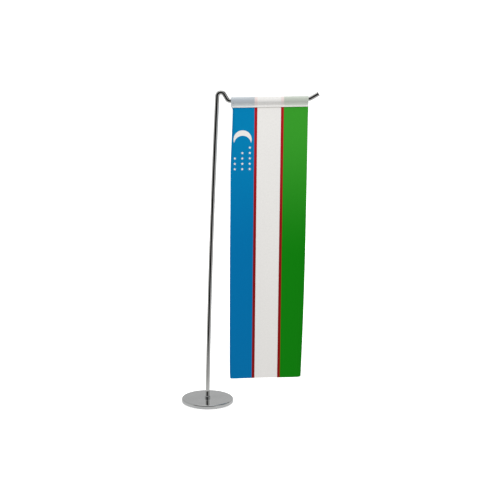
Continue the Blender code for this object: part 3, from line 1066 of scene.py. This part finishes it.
camera_data = bpy.data.cameras.new("camera")
camera_data.lens = LENS
camera_data.sensor_width = SENSOR
camera_data.clip_end = 60.0
camera = placed("camera", camera_data)
camera.matrix_world = (
    Matrix.Translation(CAMERA_PLACE)
    @ Matrix.Rotation(CAMERA_PITCH, 4, "X")
    @ Matrix.Rotation(CAMERA_ROLL, 4, "Z")
)
bpy.context.scene.camera = camera

floor_mesh = bpy.data.meshes.new("floor")
floor_mesh.from_pydata([(-20, -20, 0), (20, -20, 0), (20, 20, 0), (-20, 20, 0)], [], [(0, 1, 2, 3)])
floor = placed("floor", floor_mesh)
floor.location.z = -0.00005
floor.visible_glossy = False
floor.visible_diffuse = False
floor_material, _, floor_shader = new_material("pale floor")
floor_shader.inputs["Base Color"].default_value = (0.90, 0.90, 0.90, 1.0)
floor_shader.inputs["Roughness"].default_value = 0.9
floor_shader.inputs["Specular IOR Level"].default_value = 0.0
floor_shader.inputs["Emission Color"].default_value = (1.0, 1.0, 1.0, 1.0)
floor_shader.inputs["Emission Strength"].default_value = 0.55
floor_mesh.materials.append(floor_material)

# What the chrome mirrors of the floor: pale by the stand, and lost in the room further off
TABLE_REACH = 0.5
TABLE_NEAR = 0.74
TABLE_FAR = 0.60
TABLE_FADE = (0.03, 0.38)  # away from the middle, from solid to clear
table_mesh = bpy.data.meshes.new("mirrored_table")
corners = [(x * TABLE_REACH, y * TABLE_REACH, 0) for x, y in ((-1, -1), (1, -1), (1, 1), (-1, 1))]
table_mesh.from_pydata(corners, [], [(0, 1, 2, 3)])
table = placed("mirrored_table", table_mesh)
table.location.z = -0.00003
table.visible_camera = False
table.visible_diffuse = False
table.visible_shadow = False
table_material, tree, shader = new_material("mirrored table")
place = add_node(tree, "ShaderNodeTexCoord").outputs["Object"]
far = add_node(tree, "ShaderNodeVectorMath", {0: place}, operation="LENGTH").outputs["Value"]
glow = add_node(tree, "ShaderNodeMapRange", {"Value": far, "From Min": 0.05, "From Max": 0.14})
glow.inputs["To Min"].default_value = TABLE_NEAR
glow.inputs["To Max"].default_value = TABLE_FAR
fade_span = {"Value": far, "From Min": TABLE_FADE[0], "From Max": TABLE_FADE[1]}
fade = add_node(tree, "ShaderNodeMapRange", fade_span).outputs["Result"]
lit = add_node(tree, "ShaderNodeEmission", {"Strength": glow.outputs["Result"]}).outputs[0]
clear = add_node(tree, "ShaderNodeBsdfTransparent").outputs[0]
mixed = add_node(tree, "ShaderNodeMixShader", {0: fade, 1: lit, 2: clear})
tree.links.new(mixed.outputs[0], tree.nodes["Material Output"].inputs["Surface"])
table_mesh.materials.append(table_material)

ROOM_GREY = 0.58
ROOM_DARK = 0.004
ROOM_DIM = 0.07  # what the dark parts rise to, higher up
DIM_HEIGHT = 0.24
# Each dark part's middle as a direction, and its inner and outer half-angles in degrees
DARK_FRONT = ((-0.206, -0.969, 0.139), 49, 52)
DARK_CORNER = ((0.670, 0.150, 0.727), 24, 30)
FILL_ABOVE = 0.75
FILL_BELOW = 0.55


def studio_world():
    """White behind the stand, the grey room with its dark parts in the chrome, and soft fill."""
    world = bpy.data.worlds.new("studio")
    world.use_nodes = True
    tree = world.node_tree
    direction = add_node(tree, "ShaderNodeTexCoord").outputs["Generated"]
    shares = []
    for middle, inner, outer in (DARK_FRONT, DARK_CORNER):
        both = {0: direction, 1: middle}
        toward = add_node(tree, "ShaderNodeVectorMath", both, operation="DOT_PRODUCT")
        span = {
            "Value": toward.outputs["Value"],
            "From Min": math.cos(math.radians(outer)),
            "From Max": math.cos(math.radians(inner)),
        }
        share = add_node(tree, "ShaderNodeMapRange", span, interpolation_type="SMOOTHSTEP")
        shares.append(share.outputs["Result"])
    height = add_node(tree, "ShaderNodeSeparateXYZ", {0: direction}).outputs["Z"]
    dark_span = {"Value": height, "From Max": DIM_HEIGHT, "To Min": ROOM_DARK, "To Max": ROOM_DIM}
    dark = add_node(tree, "ShaderNodeMapRange", dark_span).outputs["Result"]
    mirrored = remapped(tree, calc(tree, "MAXIMUM", *shares), ROOM_GREY, dark)
    fill_span = {"Value": height, "From Min": -0.5, "From Max": 0.5}
    fill_ends = {"To Min": FILL_BELOW, "To Max": FILL_ABOVE}
    fill = add_node(tree, "ShaderNodeMapRange", {**fill_span, **fill_ends}).outputs["Result"]
    ray = add_node(tree, "ShaderNodeLightPath").outputs
    seen = calc(tree, "MULTIPLY", ray["Is Glossy Ray"], mirrored)
    lit = calc(tree, "MULTIPLY", calc(tree, "SUBTRACT", 1.0, ray["Is Glossy Ray"]), fill)
    total = calc(tree, "MAXIMUM", calc(tree, "ADD", seen, lit), ray["Is Camera Ray"])
    tree.links.new(total, tree.nodes["Background"].inputs["Strength"])
    tree.nodes["Background"].inputs["Color"].default_value = (1.0, 1.0, 1.0, 1.0)
    return world


bpy.context.scene.world = studio_world()

# Each lamp's name, size, place, aim and watts
add_light("front light", (0.9, 0.9), (-0.2, -1.8, 0.9), (0.08, 0.0, 0.3), 5.5, mirrored=False)
add_light("key light", (0.5, 0.4), (0.0, -1.0, 1.15), (0.08, 0.0, 0.4), 5.0, mirrored=False)
add_light("top light", (1.2, 0.9), (0.05, 0.30, 1.5), (0.05, 0.0, 0.0), 2.5, mirrored=True)
add_light("back light", (0.9, 0.9), (0.1, 1.6, 1.0), (0.08, 0.0, 0.25), 6.0, mirrored=False)

bpy.context.scene.view_settings.view_transform = "Standard"
